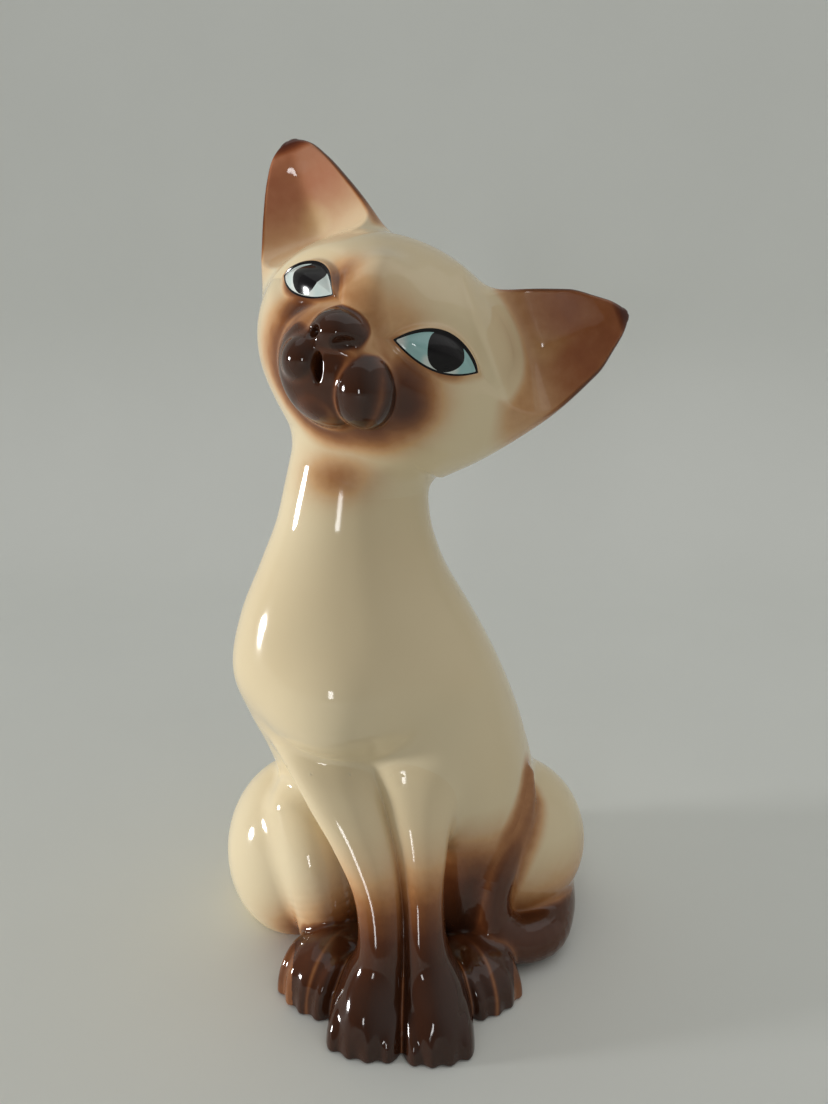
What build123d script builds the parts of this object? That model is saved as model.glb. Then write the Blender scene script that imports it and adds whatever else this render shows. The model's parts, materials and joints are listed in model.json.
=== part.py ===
"""Seated ceramic cat figurine, modelled as the separate castings a pottery lutes together before firing.

Units are millimetres, +Z is up and the figure stands on Z = 0. It faces -Y, so its own left side is +X.
The origin is the middle of the base, on the plane that the figure stands on.
The torso, neck and haunches are one hollow slip casting with a vent hole in its base, and the head is a
second one, open at the neck. Ears, forelegs, hind paws and tail are solid sprigs, cut where they meet the
castings. The eyes are thin fields of enamel on the head.
"""

import math
import os

from build123d import *

# Driving dimensions
WALL = 4.0  # slip-cast wall
NECK_Z = 117.0  # plane where the head casting is luted to the neck
VENT_RADIUS = 8.0  # vent hole through the base, also where the slip is poured out
VENT_AT = (0.0, 16.0)

# The head is built upright about its own centre, facing -Y, then turned and tilted into place.
HEAD_CENTRE = (-5.0, 0.0, 147.5)
HEAD_ROLL = math.radians(29)  # crown leans to the figure's left
HEAD_YAW = math.radians(18)  # face turns to the figure's right
CRANIUM_CENTRE = (0.0, 0.0, -1.4)
CRANIUM = (30.0, 26.0, 24.6)
# Centre, radii and turn of the muzzle's mound, the two whisker pads, the nose and the chin
MUZZLE = (
    ((-1.7, -19.5, -6.2), (12.6, 9.4, 12.6), (0, 0, 0)),
    ((-5.8, -23.4, -8.2), (5.4, 7.0, 5.6), (0, 30, 0)),
    ((6.8, -22.8, -7.6), (6.3, 7.2, 7.6), (0, -25, 0)),
    ((-2.0, -25.0, -0.6), (5.9, 6.2, 4.6), (0, -20, 0)),
    ((-0.4, -20.6, -13.8), (6.0, 6.4, 4.4), (0, 0, 0)),
)
# The two nostrils and the slot in the lip under the nose
MUZZLE_HOLLOWS = (
    ((-5.6, -30.0, -2.6), (1.5, 2.4, 1.2), (0, -50, 0)),
    ((1.8, -31.0, -1.6), (3.2, 2.8, 1.7), (0, -29, 0)),
    ((-1.9, -29.0, -8.2), (1.0, 3.4, 3.0), (0, -25, 0)),
)

# Torso stations from floor to neck: height, centre x, centre y, half width, half depth
TORSO = (
    (0.0, 0.0, 14.0, 30.0, 22.0),
    (8.0, 0.0, 13.0, 33.0, 25.0),
    (25.0, 0.5, 12.0, 32.5, 25.0),
    (43.0, -2.5, 10.0, 33.5, 24.2),
    (52.0, -5.0, 8.0, 33.5, 24.2),
    (61.0, -8.0, 5.8, 33.5, 24.6),
    (75.0, -12.0, 0.0, 31.5, 24.5),
    (88.0, -14.0, -1.0, 26.5, 21.0),
    (100.0, -14.5, 0.0, 21.0, 18.0),
    (110.0, -14.0, 1.0, 17.5, 16.0),
    (NECK_Z, -13.3, 1.5, 16.6, 15.8),
)
NECK_TOP = (132.0, -10.0, 2.0, 16.0, 16.0)  # the neck stub inside the head
BIB = ((-16.0, -8.4, 71.5), (19.2, 18.4, 16.0))  # the chest, which hangs a little over the forelegs
FLANK = ((9.0, -0.5, 54.0), (15.8, 18.2, 44.0), (0, -14, 0))  # the side between left foreleg and tail
LAP = ((12.0, -7.0, 12.0), (11.2, 12.2, 26.0))  # the low side between left foreleg and tail

BIG = 400.0


def head_frame():
    """The head's own frame: X to its left, Y to its back, Z to its crown."""
    roll, yaw = HEAD_ROLL, HEAD_YAW
    left = (math.cos(yaw) * math.cos(roll), -math.sin(yaw), -math.cos(yaw) * math.sin(roll))
    return Plane(origin=HEAD_CENTRE, x_dir=left, z_dir=(math.sin(roll), 0, math.cos(roll)))


def ellipsoid(centre, radii, turn=(0, 0, 0)):
    """An ellipsoid at centre, turned about X, Y and Z in degrees."""
    unit = 10.0
    ball = scale(Sphere(unit), by=tuple(r / unit for r in radii))
    return Pos(*centre) * Rot(*turn) * ball


def above_floor(shape):
    return shape & Pos(0, 0, BIG / 2) * Box(BIG, BIG, BIG)


def station(z, x, y, half_width, half_depth, inset=0.0):
    return Pos(x, y, z) * Ellipse(half_width - inset, half_depth - inset)


def solid_of(shape):
    """The largest solid of a result, so that slivers left by a cut are dropped."""
    return max(shape.solids(), key=lambda s: s.volume)


# Centre and radii of each haunch
HAUNCHES = {
    "right": ((-30.0, 8.6, 16.0), (20.6, 22.0, 25.0)),
    "left": ((25.6, 8.0, 20.0), (20.4, 21.8, 20.8)),
}
# Right shin from knee to ankle, seen beside its haunch: x, y, z, radius
SHIN = ((-28.0, -2.0, 34.0, 9.0), (-25.0, -7.5, 26.0, 9.4), (-22.0, -11.5, 15.0, 8.6), (-20.5, -14.5, 5.0, 7.4))


def cord(rows, across):
    """A round tapered cord through rows of x, y, z and radius. across is square to it at its start."""
    spine = Spline(*[row[:3] for row in rows])
    rings = []
    for x, y, z, radius in rows:
        along = spine % spine.param_at_point((x, y, z))
        across = (across - along * across.dot(along)).normalized()
        rings.append(Plane(origin=(x, y, z), x_dir=across, z_dir=along) * Circle(radius))
    return loft(rings)


def body_outer():
    """Torso, neck and haunches without the hollow."""
    knee, ankle = SHIN[0], SHIN[-1]
    shin = cord(SHIN, Vector(0, 1, 0)) + Pos(*knee[:3]) * Sphere(knee[3]) + Pos(*ankle[:3]) * Sphere(ankle[3])
    torso = loft([station(*s) for s in TORSO]) + ellipsoid(*BIB) + ellipsoid(*FLANK) + ellipsoid(*LAP)
    torso += ellipsoid(*HAUNCHES["left"]) + (ellipsoid(*HAUNCHES["right"]) + shin)
    return above_floor(torso)


def body_hollow():
    """The space inside the body casting, out through the neck."""
    inner = [s for s in TORSO if s[0] > WALL]
    floor_station = (WALL, *TORSO[0][1:])
    mouth = (NECK_Z + 1, *TORSO[-1][1:])
    return loft([station(*s, inset=WALL) for s in (floor_station, *inner[:-1], mouth)])


def body_casting(outer):
    """The body as a shell, closed at the base but for the vent."""
    vent = Pos(*VENT_AT, 0) * Cylinder(VENT_RADIUS, 4 * WALL)
    return outer - body_hollow() - vent


def head_outer(plane):
    """Cranium, muzzle, chin and the neck stub, without the hollow."""
    shape = ellipsoid(CRANIUM_CENTRE, CRANIUM)
    for swelling in MUZZLE:
        shape += ellipsoid(*swelling)
    for hollow in MUZZLE_HOLLOWS:
        shape -= ellipsoid(*hollow)
    shape = plane * shape
    stub = loft([station(*TORSO[-1]), station(*NECK_TOP)])
    shape += stub
    return shape & Pos(0, 0, NECK_Z + BIG / 2) * Box(BIG, BIG, BIG)


def head_casting(outer, plane):
    room = plane * ellipsoid(CRANIUM_CENTRE, tuple(r - WALL for r in CRANIUM))
    mouth = (NECK_Z - 1, *TORSO[-1][1:])
    neck = loft([station(*mouth, inset=WALL), station(*NECK_TOP, inset=WALL)])
    room = (room & Pos(0, 0, NECK_Z + WALL / 2 + BIG / 2) * Box(BIG, BIG, BIG)) + neck
    return outer - room


EAR_ROOT = (21.4, 1.0, 7.4)
EAR_TIP = {"left": (40.0, 1.0, 30.0), "right": (43.6, 1.0, 27.6)}
# Along the ear from root to tip: share of its length, half width, half depth
EAR_PROFILE = (
    (0.0, 16.0, 8.0), (0.3, 14.0, 6.8), (0.6, 10.6, 5.2), (0.82, 7.4, 3.8), (0.93, 5.2, 2.9), (1.0, 3.0, 1.8),
)
EAR_LIP = 2.2  # thickness of the rim around the hollow of the ear


def ear(side, head, plane):
    """A flattened cone, hollowed at the front."""
    sign = 1 if side == "left" else -1
    root = Vector(sign * EAR_ROOT[0], *EAR_ROOT[1:])
    tip = Vector(sign * EAR_TIP[side][0], *EAR_TIP[side][1:])
    along = tip - root
    length = along.length
    base = Plane(origin=root, x_dir=(along.Z, 0, -along.X), z_dir=along)

    def cone(inset, forward):
        rings = [
            base * Pos(0, 0, t * length) * Ellipse(max(w - inset, 0.5), max(d - inset, 0.5))
            for t, w, d in EAR_PROFILE
        ]
        return Pos(0, -forward, 0) * loft(rings)

    shape = plane * (cone(0, 0) - cone(EAR_LIP, 3.4))
    return shape - head


EYES = {
    # azimuth from the nose and height on the cranium in degrees, tilt of the eye's long axis
    "left": (37.5, 13.5, 6.0),
    "right": (-37.0, 12.0, 7.0),
}
EYE_SIZE = (8.6, 4.2, 2.2)  # half length, half height, half depth of the raised field
EYE_SINK = 1.0  # how far its middle lies under the surface of the cranium
PUPILS = {"left": (0.8, 1.3, 4.0), "right": (0.0, 1.8, 3.7)}  # place along and up the eye, and radius


def eye(side, head, plane):
    """Returns the enamel field and the pupil of one eye, side by side."""
    azimuth, height, tilt = EYES[side]
    a, h = math.radians(azimuth), math.radians(height)
    outward = Vector(math.sin(a) * math.cos(h), -math.cos(a) * math.cos(h), math.sin(h))
    reach = 1 / math.sqrt(sum((c / r) ** 2 for c, r in zip(outward, CRANIUM)))
    middle = outward * (reach - EYE_SINK) + Vector(*CRANIUM_CENTRE)
    spot = Plane(origin=middle, x_dir=(math.cos(a), math.sin(a), 0), z_dir=outward)
    lens = spot * Rot(0, 0, tilt) * ellipsoid((0, 0, 0), EYE_SIZE)
    across, rise, radius = PUPILS[side]
    drill = spot * Pos(across, rise, 0) * Cylinder(radius, 20)
    cap = plane * lens - head
    return cap - plane * drill, cap & plane * drill


TOES = 4


def paw(centre, size, turn, toe_rise):
    """A rounded pad with toes side by side over its front, turned about Z in degrees.

    The toes reach up the paw by the share toe_rise of its height."""
    half_width, half_length, half_height = size
    shape = ellipsoid((0, 0.8, 0), (half_width * 0.97, half_length * 0.93, half_height))
    for i in range(TOES):
        across = (2 * i - (TOES - 1)) / TOES
        at = (across * half_width * 0.98, half_length * (0.16 * across**2 - 0.43), -centre[2])
        shape += ellipsoid(at, (half_width * 0.34, half_length * 0.58, (centre[2] + half_height) * toe_rise))
    return Pos(*centre) * Rot(0, 0, turn) * shape


# Foreleg stations from shoulder to wrist: centre x, y, z, half width, half depth
FORELEGS = {
    "right": (
        (-20.5, -4.0, 68.0, 11.0, 8.2), (-21.0, -10.2, 57.0, 11.0, 8.4), (-16.2, -16.8, 47.0, 9.4, 7.6),
        (-11.6, -21.8, 38.0, 7.6, 6.9), (-8.2, -26.6, 29.0, 6.0, 6.5), (-7.3, -30.6, 20.0, 5.6, 6.8),
        (-8.6, -32.6, 9.0, 6.8, 8.0),
    ),
    "left": (
        (0.5, -4.0, 68.0, 10.2, 8.2), (0.0, -10.2, 57.0, 10.4, 8.4), (0.9, -17.4, 45.0, 7.9, 7.6),
        (1.6, -21.8, 37.0, 6.3, 6.9), (1.9, -26.6, 29.0, 5.1, 6.5), (2.3, -30.6, 20.0, 5.2, 6.8),
        (3.8, -33.0, 9.0, 6.8, 8.0),
    ),
}
# Centre, half sizes, turn and toe height of each paw
FOREPAWS = {
    "right": ((-9.3, -34.6, 4.6), (8.4, 12.2, 9.6), -14.0, 0.62),
    "left": ((4.4, -35.8, 4.6), (7.8, 12.2, 9.6), 8.0, 0.62),
}
HINDPAWS = {
    "right": ((-20.0, -22.6, 4.6), (8.4, 12.4, 9.2), -40.0, 0.8),
    "left": ((14.4, -23.4, 4.0), (7.6, 11.6, 8.0), 36.0, 0.8),
}


def foreleg(side, body):
    shape = loft([Pos(x, y, z) * Ellipse(w, d) for x, y, z, w, d in FORELEGS[side]])
    return above_floor(shape + paw(*FOREPAWS[side])) - body


def hind_paw(side, body, foreleg_shape):
    return above_floor(paw(*HINDPAWS[side])) - body - foreleg_shape


# Tail centreline from the rump, round the left haunch and up to its tip: x, y, z, radius
TAIL = (
    (6.0, 36.5, 7.0, 7.2), (20.5, 34.0, 6.6, 7.0), (32.4, 25.0, 6.2, 6.7), (37.0, 10.5, 5.8, 6.3),
    (36.2, -4.0, 5.6, 6.0), (31.6, -13.8, 5.6, 5.8), (24.8, -16.6, 6.4, 5.6), (19.8, -16.2, 10.5, 5.2),
    (18.8, -15.2, 16.5, 4.7), (20.0, -13.8, 22.5, 4.3), (22.4, -11.2, 28.5, 4.0), (25.6, -7.8, 34.0, 3.4),
    (28.0, -4.5, 39.5, 2.4), (28.8, -2.6, 44.0, 1.0),
)


def tail(body, hind_paw_shape):
    return above_floor(cord(TAIL, Vector(0, 0, 1))) - body - hind_paw_shape


def write(name, shape):
    export_step(solid_of(shape), f"parts/{name}.step")


def main():
    os.makedirs("parts", exist_ok=True)
    plane = head_frame()
    body, head = body_outer(), head_outer(plane)
    write("body_casting", body_casting(body))
    write("head_casting", head_casting(head, plane))
    right_leg = foreleg("right", body)
    legs = {"right": right_leg, "left": foreleg("left", body) - right_leg}
    for side, leg in legs.items():
        write(f"{side}_ear", ear(side, head, plane))
        field, pupil = eye(side, head, plane)
        write(f"{side}_eye_enamel", field)
        write(f"{side}_pupil_enamel", pupil)
        write(f"{side}_foreleg", leg)
        hind = hind_paw(side, body, leg)
        write(f"{side}_hind_paw", hind)
        if side == "left":
            write("tail", tail(body, hind))


main()
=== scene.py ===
"""The seated ceramic cat as it looks: one glazed surface, split into the castings and sprigs of the frame.

The cat's skin is a signed distance field in millimetres, blended from the shapes of the castings. It is
meshed once, refined where detail is fine, cut along the joints between the pieces and given a thickness.
Paint is held in per-vertex masks that the glaze materials mix with noise.
"""

import bpy
import json
import math
import numpy as np
import openvdb
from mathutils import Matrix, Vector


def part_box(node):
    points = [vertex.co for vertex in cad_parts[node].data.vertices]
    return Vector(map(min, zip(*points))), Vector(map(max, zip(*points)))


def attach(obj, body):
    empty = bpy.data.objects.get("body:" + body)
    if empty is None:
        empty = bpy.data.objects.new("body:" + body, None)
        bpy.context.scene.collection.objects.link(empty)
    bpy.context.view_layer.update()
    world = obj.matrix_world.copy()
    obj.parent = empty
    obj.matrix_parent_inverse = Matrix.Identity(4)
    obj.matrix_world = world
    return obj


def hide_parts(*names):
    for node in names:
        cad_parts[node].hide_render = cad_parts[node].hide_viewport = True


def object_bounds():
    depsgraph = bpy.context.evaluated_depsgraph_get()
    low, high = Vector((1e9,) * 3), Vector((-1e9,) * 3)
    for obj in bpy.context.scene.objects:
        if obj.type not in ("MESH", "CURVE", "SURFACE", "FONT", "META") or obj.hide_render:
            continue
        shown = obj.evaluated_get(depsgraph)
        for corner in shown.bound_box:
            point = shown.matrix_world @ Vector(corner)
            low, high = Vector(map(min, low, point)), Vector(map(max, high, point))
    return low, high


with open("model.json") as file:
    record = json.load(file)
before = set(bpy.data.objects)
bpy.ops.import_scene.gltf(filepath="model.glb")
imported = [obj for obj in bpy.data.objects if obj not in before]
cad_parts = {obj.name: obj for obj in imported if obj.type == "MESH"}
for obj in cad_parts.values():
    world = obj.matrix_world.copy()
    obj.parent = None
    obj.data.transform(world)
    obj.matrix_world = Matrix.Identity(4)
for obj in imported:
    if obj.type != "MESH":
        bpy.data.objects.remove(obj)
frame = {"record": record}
cad_low, cad_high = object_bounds()

MM = 0.001
VOXEL = 0.55  # mesh size of the skin, in mm
FINE_PASSES = 1  # times that the face and the paws are halved again
SHELL = 0.7  # thickness given to each piece, in mm
NECK_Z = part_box("head_casting")[0].z / MM  # the luted neck joint
FAR = 6.0  # distance that stands for far away from a small shape

# Head frame: upright about its own centre and facing -Y, then rolled and yawed into place
HEAD_CENTRE = np.array((-5.0, 0.0, 147.5))
HEAD_ROLL = math.radians(29)
HEAD_YAW = math.radians(18)
CRANIUM_CENTRE = (0.0, 0.0, -1.4)
CRANIUM = (30.0, 26.0, 24.6)

# Torso stations from floor to neck: height, centre x, centre y, half width, half depth
TORSO = (
    (-6.0, 0.0, 14.0, 29.0, 21.0),
    (8.0, 0.0, 13.0, 33.0, 25.0),
    (25.0, 0.5, 12.0, 32.5, 24.5),
    (43.0, -2.5, 10.0, 33.3, 24.0),
    (52.0, -5.0, 8.0, 33.3, 24.0),
    (61.0, -8.0, 5.8, 33.3, 24.4),
    (75.0, -12.0, 0.0, 31.3, 24.3),
    (88.0, -14.0, -1.0, 26.5, 21.0),
    (100.0, -14.5, 0.0, 21.0, 18.0),
    (110.0, -14.0, 1.0, 17.5, 16.0),
    (117.0, -13.3, 1.5, 16.4, 15.6),
    (132.0, -10.0, 2.0, 16.0, 16.0),
)
BIB = ((-16.0, -9.0, 71.5), (19.0, 18.2, 15.8))  # the chest, which hangs a little over the forelegs
# The side between the left foreleg and the tail, and the low part of it
FLANK = ((9.0, -0.5, 54.0), (15.5, 18.0, 44.0), (0, -14, 0))
LAP = ((12.0, -7.0, 12.0), (11.0, 12.0, 26.0))
HAUNCHES = {
    "right": ((-30.0, 8.6, 16.0), (20.4, 21.8, 24.8)),
    "left": ((25.6, 8.0, 20.0), (20.2, 21.6, 20.6)),
}
# Right shin from knee to ankle, seen beside its haunch: x, y, z, radius
SHIN = (
    (-28.0, -2.0, 34.0, 9.0), (-25.0, -7.5, 26.0, 9.4), (-22.0, -11.5, 15.0, 8.6), (-20.5, -14.5, 5.0, 7.4),
)

# Foreleg stations from the paw to the shoulder: height, centre x, centre y, half width, half depth
FORELEGS = {
    "right": (
        (4.0, -9.0, -33.0, 6.8, 8.6), (9.0, -8.6, -32.6, 6.6, 7.8), (20.0, -7.3, -30.6, 5.4, 6.6),
        (29.0, -8.2, -26.6, 5.8, 6.3), (38.0, -11.6, -21.8, 7.4, 6.7), (47.0, -16.2, -16.8, 9.2, 7.4),
        (57.0, -21.0, -9.6, 10.8, 8.2), (68.0, -20.5, -2.6, 10.8, 8.0),
    ),
    "left": (
        (4.0, 4.2, -33.6, 6.8, 8.6), (9.0, 3.8, -33.0, 6.6, 7.8), (20.0, 2.3, -30.6, 5.0, 6.6),
        (29.0, 1.9, -26.6, 4.9, 6.3), (37.0, 1.6, -21.8, 6.1, 6.7), (45.0, 0.9, -17.4, 7.7, 7.4),
        (57.0, 0.0, -9.6, 10.2, 8.2), (68.0, 0.5, -2.6, 10.0, 8.0),
    ),
}
# Centre, half sizes and turn of each paw, and how far up it the toes reach
PAWS = {
    "right_foreleg": ((-9.3, -34.6, 4.6), (8.4, 12.0, 9.4), -14.0, 0.5),
    "left_foreleg": ((4.4, -35.8, 4.6), (7.8, 12.0, 9.4), 8.0, 0.5),
    "right_hind_paw": ((-20.0, -22.6, 4.6), (8.4, 12.4, 9.2), -40.0, 0.8),
    "left_hind_paw": ((14.4, -23.4, 3.6), (7.6, 11.6, 7.4), 36.0, 0.8),
}
TOES = 4

# Tail centreline from the rump, round the left haunch and up to its tip: x, y, z, radius
TAIL = (
    (6.0, 36.5, 7.0, 7.0), (20.5, 34.0, 6.6, 6.8), (32.4, 25.0, 6.2, 6.5), (37.0, 10.5, 5.8, 6.1),
    (36.2, -4.0, 5.6, 5.9), (31.6, -13.8, 5.6, 5.7), (24.8, -16.6, 6.4, 5.5), (19.8, -16.2, 10.5, 5.1),
    (18.8, -15.2, 16.5, 4.6), (20.0, -13.8, 22.5, 4.2), (22.4, -11.2, 28.5, 3.9), (25.6, -7.8, 34.0, 3.3),
    (28.0, -4.5, 39.5, 2.3), (28.8, -2.6, 44.0, 1.1),
)

# Ears, in the head frame. Along the ear: share of its length, half width, half depth
EAR_ROOT = (21.4, 1.0, 7.4)
EAR_TIP = {"left": (40.0, 1.0, 30.0), "right": (43.6, 1.0, 27.6)}
EAR_PROFILE = (
    (-0.6, 17.0, 9.5), (0.0, 16.0, 8.0), (0.3, 14.0, 6.8), (0.6, 10.6, 5.2),
    (0.82, 7.4, 3.8), (0.93, 5.2, 2.9), (1.0, 3.0, 1.8),
)
EAR_RIM = 0.9  # radius of the rim

# Eyes, in the head frame: azimuth from the nose, height and tilt of the long axis, in degrees
EYES = {"left": (37.5, 13.5, 6.0), "right": (-37.0, 12.0, -7.0)}
EYE_HALF = 8.6  # half length
LID_RISE = (4.2, 2.7)  # rise of the upper lid and drop of the lower lid
PUPILS = {"left": (0.8, 1.3, 4.0), "right": (-0.7, 1.2, 3.8)}  # along, up, radius
LID_LINE = (0.42, 0.34)  # width of the dark line round the eye, and how much it gains over the top

# Muzzle, in the head frame: centre, radii and turn of each swelling and hollow
MOUND = ((-1.7, -19.5, -6.2), (12.6, 9.4, 12.6), (0, 0, 0))
PADS = (
    ((-5.8, -23.4, -8.2), (5.4, 7.0, 5.6), (0, 30, 0)),
    ((6.8, -22.8, -7.6), (6.3, 7.2, 7.6), (0, -25, 0)),
)
NOSE = ((-2.0, -25.0, -0.6), (5.9, 6.2, 4.6), (0, -20, 0))
NOSTRILS = (
    ((-5.6, -30.0, -2.6), (1.5, 2.4, 1.2), (0, -50, 0)),
    ((1.8, -31.0, -1.6), (3.2, 2.8, 1.7), (0, -29, 0)),
)
LIP_SLOT = ((-1.9, -29.0, -8.2), (1.0, 3.4, 3.0), (0, -25, 0))
CHIN = ((-0.4, -20.6, -13.8), (6.0, 6.4, 4.4), (0, 0, 0))
BRIDGE = ((-1.6, -18.6, 4.0), (6.0, 7.4, 11.5), (14, 0, 0))

VENT = (0.0, 16.0, 5.0, 7.0)  # x, y, radius and depth of the vent seen from below


# ---------------------------------------------------------------- shapes


def soft_min(a, b, k):
    """The lower of two fields, rounded where they are within k of each other."""
    h = np.maximum(k - np.abs(a - b), 0) / k
    return np.minimum(a, b) - h * h * k * 0.25


def soft_max(a, b, k):
    return -soft_min(-a, -b, k)


def ramp(low, high, x):
    """0 below low, 1 above high, smooth between."""
    t = np.clip((x - low) / (high - low), 0, 1)
    return t * t * (3 - 2 * t)


def turn_matrix(degrees):
    """Rotation about X, then Y, then Z, as columns."""
    rx, ry, rz = (math.radians(d) for d in degrees)
    cx, cy, cz = math.cos(rx), math.cos(ry), math.cos(rz)
    sx, sy, sz = math.sin(rx), math.sin(ry), math.sin(rz)
    about_x = np.array(((1, 0, 0), (0, cx, -sx), (0, sx, cx)))
    about_y = np.array(((cy, 0, sy), (0, 1, 0), (-sy, 0, cy)))
    about_z = np.array(((cz, -sz, 0), (sz, cz, 0), (0, 0, 1)))
    return about_x @ about_y @ about_z


def ellipsoid(p, centre, radii, turn=None):
    q = p - np.asarray(centre)
    if turn is not None:
        q = q @ turn_matrix(turn)
    k = q / np.asarray(radii)
    near = np.sqrt((k * k).sum(1))
    k = k / np.asarray(radii)
    slope = np.sqrt((k * k).sum(1))
    return near * (near - 1) / np.maximum(slope, 1e-6)


def smooth_table(t, table):
    """Columns of a table read at t, as a smooth curve through its rows. The first column is t."""
    rows = np.asarray(table, float)
    at = rows[:, 0]
    slope = np.gradient(rows[:, 1:], at, axis=0)
    i = np.clip(np.searchsorted(at, t) - 1, 0, len(at) - 2)
    h = (at[i + 1] - at[i])[:, None]
    s = np.clip((t[:, None] - at[i][:, None]) / h, 0, 1)
    a, b = rows[i, 1:], rows[i + 1, 1:]
    hermite = (2 * s**3 - 3 * s**2 + 1) * a + (s**3 - 2 * s**2 + s) * h * slope[i]
    hermite += (3 * s**2 - 2 * s**3) * b + (s**3 - s**2) * h * slope[i + 1]
    return hermite.T


def column(p, table, power=2.0):
    """A lofted upright column of oval sections. A power over 2 squares the ovals a little."""
    x, y, width, depth = smooth_table(p[:, 2], table)
    u, v = np.abs(p[:, 0] - x) / width, np.abs(p[:, 1] - y) / depth
    near = np.maximum((u**power + v**power) ** (1 / power), 0.05)
    slope = near ** (1 - power) * np.hypot(u ** (power - 1) / width, v ** (power - 1) / depth)
    side = (near - 1) / np.maximum(slope, 1 / np.maximum(width, depth))
    low, high = table[0][0], table[-1][0]
    return np.maximum(side, np.maximum(low - p[:, 2], p[:, 2] - high))


def within(p, low, high, field):
    """field(p) inside a box and FAR outside it, to save work."""
    near = np.all((p > np.asarray(low)) & (p < np.asarray(high)), axis=1)
    out = np.full(len(p), FAR)
    if near.any():
        out[near] = field(p[near])
    return out


def rope(p, table, pieces=56):
    """A round tapered cord through the table's points: x, y, z, radius."""
    rows = np.asarray(table, float)
    steps = np.concatenate(([0], np.cumsum(np.linalg.norm(np.diff(rows[:, :3], axis=0), axis=1))))
    line = smooth_table(np.linspace(0, steps[-1], pieces + 1), np.column_stack((steps, rows))).T
    best = np.full(len(p), 1e3)
    for a, b in zip(line[:-1], line[1:]):
        way = b[:3] - a[:3]
        t = np.clip(((p - a[:3]) @ way) / (way @ way), 0, 1)
        off = p - a[:3] - t[:, None] * way
        best = np.minimum(best, np.sqrt((off * off).sum(1)) - a[3] - t * (b[3] - a[3]))
    return best


# ---------------------------------------------------------------- the cat's parts


def head_axes():
    """Rows are the head's left, back and crown directions."""
    roll, yaw = HEAD_ROLL, HEAD_YAW
    left = np.array((math.cos(yaw) * math.cos(roll), -math.sin(yaw), -math.cos(yaw) * math.sin(roll)))
    crown = np.array((math.sin(roll), 0, math.cos(roll)))
    return np.array((left, np.cross(crown, left), crown))


HEAD = head_axes()


def to_head(p):
    return (p - HEAD_CENTRE) @ HEAD.T


def paw(p, name):
    """A rounded pad with toes side by side over its front, softly grooved."""
    centre, size, turn, rise = PAWS[name]
    q = (p - np.asarray(centre)) @ turn_matrix((0, 0, turn))
    half_width, half_length, half_height = size
    shape = ellipsoid(q, (0, 0.8, 0), (half_width * 0.97, half_length * 0.93, half_height))
    for i in range(TOES):
        across = (2 * i - (TOES - 1)) / TOES
        at = (across * half_width * 0.98, half_length * (0.16 * across**2 - 0.43), -centre[2])
        toe = ellipsoid(q, at, (half_width * 0.34, half_length * 0.58, (centre[2] + half_height) * rise))
        shape = soft_min(shape, toe, 2.6)
    return shape


def paw_box(name):
    centre, size = PAWS[name][:2]
    reach = np.array((size[1] + 7,) * 3)
    return np.asarray(centre) - reach, np.asarray(centre) + reach


def foreleg(p, side):
    shape = column(p, FORELEGS[side], 2.4)
    return soft_min(shape, within(p, *paw_box(side + "_foreleg"), lambda q: paw(q, side + "_foreleg")), 4.0)


def hind_paw(p, side):
    return within(p, *paw_box(side + "_hind_paw"), lambda q: paw(q, side + "_hind_paw"))


def tail(p):
    return within(p, (-8, -30, -8), (50, 50, 54), lambda q: rope(q, TAIL))


def chest(p):
    return soft_min(column(p, TORSO, 2.25), ellipsoid(p, *BIB), 6.0)


def torso(p):
    shape = soft_min(column(p, TORSO, 2.25), ellipsoid(p, *HAUNCHES["left"]), 3.0)
    shape = soft_min(shape, ellipsoid(p, *FLANK), 6.0)
    shape = soft_min(shape, ellipsoid(p, *LAP), 5.0)
    thigh = soft_min(ellipsoid(p, *HAUNCHES["right"]), within(p, (-50, -32, -8), (0, 20, 54), shin), 3.0)
    return soft_min(shape, thigh, 4.0)


def shin(p):
    return rope(p, SHIN, 16)


def eye_axes(side):
    """Centre of the eye and its along, up and outward directions, in the head frame. Along is outward."""
    azimuth, height, tilt = (math.radians(v) for v in EYES[side])
    level = math.cos(height)
    way = np.array((math.sin(azimuth) * level, -math.cos(azimuth) * level, math.sin(height)))
    reach = 1 / np.linalg.norm(way / np.asarray(CRANIUM))
    sign = math.copysign(1, azimuth)
    along = sign * np.array((math.cos(azimuth), math.sin(azimuth), 0))
    up = np.cross(way, along) * sign
    turned = along * math.cos(tilt) + up * math.sin(tilt)
    return way * reach + np.asarray(CRANIUM_CENTRE), turned, np.cross(way, turned) * sign, way


def eye_place(q, side):
    """Along, up and out coordinates of head points in an eye's own frame."""
    centre, along, up, way = eye_axes(side)
    off = q - centre
    return off @ along, off @ up, off @ way


def eye_outline(q, side):
    """Negative inside the almond of the eye."""
    along, up, out = eye_place(q, side)
    lens = 1 - (along / EYE_HALF) ** 2
    shape = soft_max(up - LID_RISE[0] * lens, -up - LID_RISE[1] * lens, 0.2)
    return np.where(out > -8, shape, 9.0)


def lid_outline(q, side):
    """Negative inside the dark line round the eye."""
    _, up, _ = eye_place(q, side)
    return eye_outline(q, side) - LID_LINE[0] - LID_LINE[1] * ramp(-1.0, 2.0, up)


def pupil_outline(q, side):
    along, up, out = eye_place(q, side)
    at_along, at_up, radius = PUPILS[side]
    return np.where(out > -8, np.hypot(along - at_along, up - at_up) - radius, 9.0)


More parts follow.
